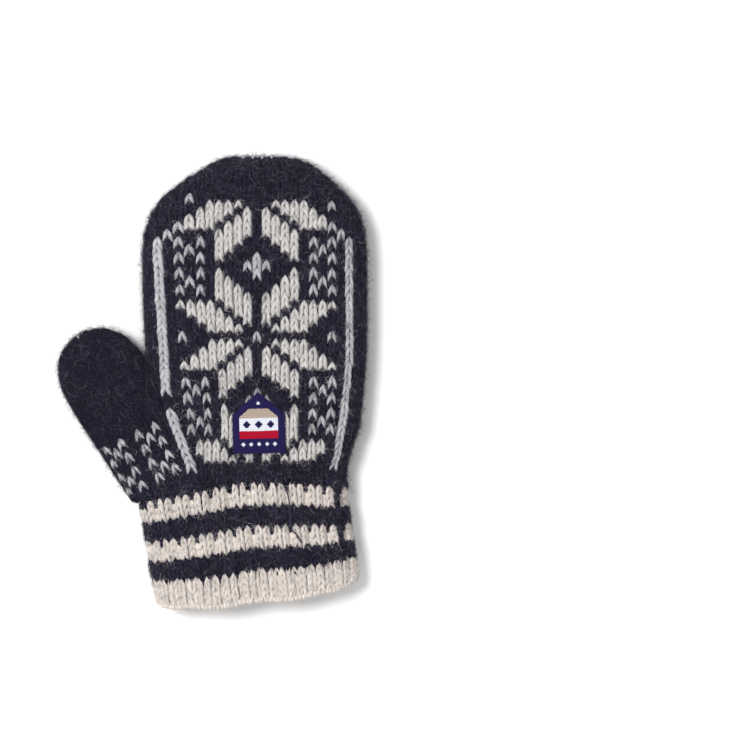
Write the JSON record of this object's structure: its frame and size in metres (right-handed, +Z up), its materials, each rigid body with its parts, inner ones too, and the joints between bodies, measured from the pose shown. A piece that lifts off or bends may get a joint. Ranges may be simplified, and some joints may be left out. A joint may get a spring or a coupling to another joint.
{
  "type": "knitted mitten",
  "caption": "Right-hand stranded-knit wool mitten lying palm down, with a star-patterned back, a gusset thumb, a striped ribbed cuff and a small woven patch.",
  "frame": {"origin": "on the surface that the mitten lies on, under the middle of the palm", "axes": "+X across the hand away from the thumb, +Y from the cuff to the fingertips, +Z up through the back of the hand"},
  "size_m": [0.1292, 0.1886, 0.0211],
  "materials": {
    "navy_wool": "brushed wool knit, navy with a stranded cream and ash pattern",
    "thumb_wool": "brushed wool knit, navy with scattered ash stitches",
    "cuff_wool": "ribbed wool knit, cream with navy stripes",
    "woven_patch": "fine woven patch with a satin border"
  },
  "bodies": {
    "root": {"hand": "navy_wool", "thumb": "thumb_wool", "cuff": "cuff_wool", "label": "woven_patch"}
  },
  "joints": []
}
